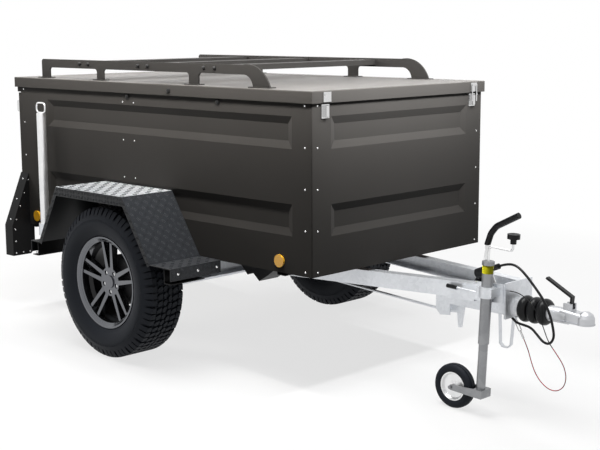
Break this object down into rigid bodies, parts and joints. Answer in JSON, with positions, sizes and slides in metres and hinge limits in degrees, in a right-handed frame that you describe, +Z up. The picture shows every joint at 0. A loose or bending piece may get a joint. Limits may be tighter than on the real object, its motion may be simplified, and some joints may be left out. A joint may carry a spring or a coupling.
{
  "type": "off-road box trailer",
  "caption": "Single-axle off-road box trailer with a rear-hinged lid, plate roof rack, tread-plate fenders, V drawbar with overrun coupling and a winding jack wheel",
  "frame": {"origin": "middle of the footprint, on the ground", "axes": "+X forward to the coupling, +Y to the left, +Z up from level ground; the trailer is parked nose up on its jack wheel"},
  "size_m": [3.3224, 1.81, 1.4519],
  "materials": {
    "black_coat": "fine-textured dark anthracite powder coat",
    "black_steel": "matt black powder coat",
    "tread_plate": "dark coated tread plate with raised bars",
    "zinc": "hot-dip galvanised steel",
    "cast_black": "dark coated cast iron",
    "bright_steel": "bright zinc-plated fittings",
    "alloy": "gunmetal painted cast alloy",
    "tyre_rubber": "matt tyre rubber",
    "black_rubber": "matt black rubber",
    "black_plastic": "matt black plastic",
    "red_cord": "red plastic-coated wire",
    "amber": "amber moulded reflector",
    "red_lens": "red moulded lamp lens"
  },
  "bodies": {
    "chassis": {"axle_beam": "zinc", "bellows": "black_rubber", "brake_linkage": "zinc", "breakaway_hook": "bright_steel", "coupling_head": "cast_black", "coupling_lever": "black_rubber", "cross_members": "black_steel", "draw_tube": "zinc", "drawbar_head": "zinc", "drawbar_left": "zinc", "drawbar_right": "zinc", "fender_left": "tread_plate", "fender_right": "tread_plate", "floor_panel": "black_coat", "guard_strap": "zinc", "handbrake_grip": "black_rubber", "handbrake_lever": "bright_steel", "jack_clamp": "zinc", "jack_crank": "bright_steel", "jack_knob": "black_rubber", "jack_tube": "zinc", "lamp_carriers": "black_steel", "lid_hinges": "bright_steel", "lid_latches": "bright_steel", "outriggers": "zinc", "overrun_housing": "zinc", "plug": "black_plastic", "plug_holder": "black_plastic", "prop_clamps": "zinc", "rear_header": "black_coat", "reflectors": "amber", "swing_arms": "zinc", "tail_lamps": "red_lens", "tailgate_hinges": "bright_steel", "wall_front": "black_coat", "wall_left": "black_coat", "wall_right": "black_coat", "wheel_chocks": "black_plastic", "breakaway_cable": "red_cord", "power_cable": "black_rubber"},
    "wheel_right": {"tyre_right": "tyre_rubber", "rim_right": "alloy", "drum_right": "cast_black"},
    "wheel_left": {"tyre_left": "tyre_rubber", "rim_left": "alloy", "drum_left": "cast_black"},
    "lid": {"lid_panel": "black_coat", "rack_rails": "black_steel", "rack_bars": "black_steel", "latch_bails": "bright_steel", "lid_hinge_leaves": "bright_steel"},
    "tailgate": {"tailgate_panel": "black_coat", "tailgate_straps": "bright_steel", "tailgate_latches": "bright_steel"},
    "prop_stand_right": {"prop_right": "zinc"},
    "prop_stand_left": {"prop_left": "zinc"},
    "jack_inner": {"jack_leg": "zinc"},
    "jack_swivel": {"jack_fork": "zinc"},
    "jack_wheel": {"jack_rim": "zinc", "jack_tyre": "tyre_rubber"}
  },
  "joints": [
    {"name": "wheel_right_spin", "type": "hinge", "parent": "chassis", "child": "wheel_right", "pos_m": [-0.49948, -0.77, 0.3675], "axis": [0, 1, 0], "continuous": true},
    {"name": "wheel_left_spin", "type": "hinge", "parent": "chassis", "child": "wheel_left", "pos_m": [-0.49948, 0.77, 0.3675], "axis": [0, 1, 0], "continuous": true},
    {"name": "lid_hinge", "type": "hinge", "parent": "chassis", "child": "lid", "pos_m": [-1.65419, 0, 1.20453], "axis": [0, -1, 0], "range_deg": [0, 75]},
    {"name": "tailgate_hinge", "type": "hinge", "parent": "chassis", "child": "tailgate", "pos_m": [-1.60806, 0, 0.45988], "axis": [0, -1, 0], "range_deg": [0, 90]},
    {"name": "prop_right_slide", "type": "slide", "parent": "chassis", "child": "prop_stand_right", "axis": [0.0471, 0, -0.9989], "range_m": [-0.03, 0.34]},
    {"name": "prop_left_slide", "type": "slide", "parent": "chassis", "child": "prop_stand_left", "axis": [0.0471, 0, -0.9989], "range_m": [-0.03, 0.34]},
    {"name": "jack_wind", "type": "slide", "parent": "chassis", "child": "jack_inner", "axis": [0, 0, -1], "range_m": [-0.065, 0.1]},
    {"name": "jack_turn", "type": "hinge", "parent": "jack_inner", "child": "jack_swivel", "pos_m": [1.22477, -0.14983, 0.15143], "axis": [0, 0, 1], "continuous": true},
    {"name": "jack_spin", "type": "hinge", "parent": "jack_swivel", "child": "jack_wheel", "pos_m": [1.08777, -0.14983, 0.1], "axis": [0, 1, 0], "continuous": true}
  ]
}
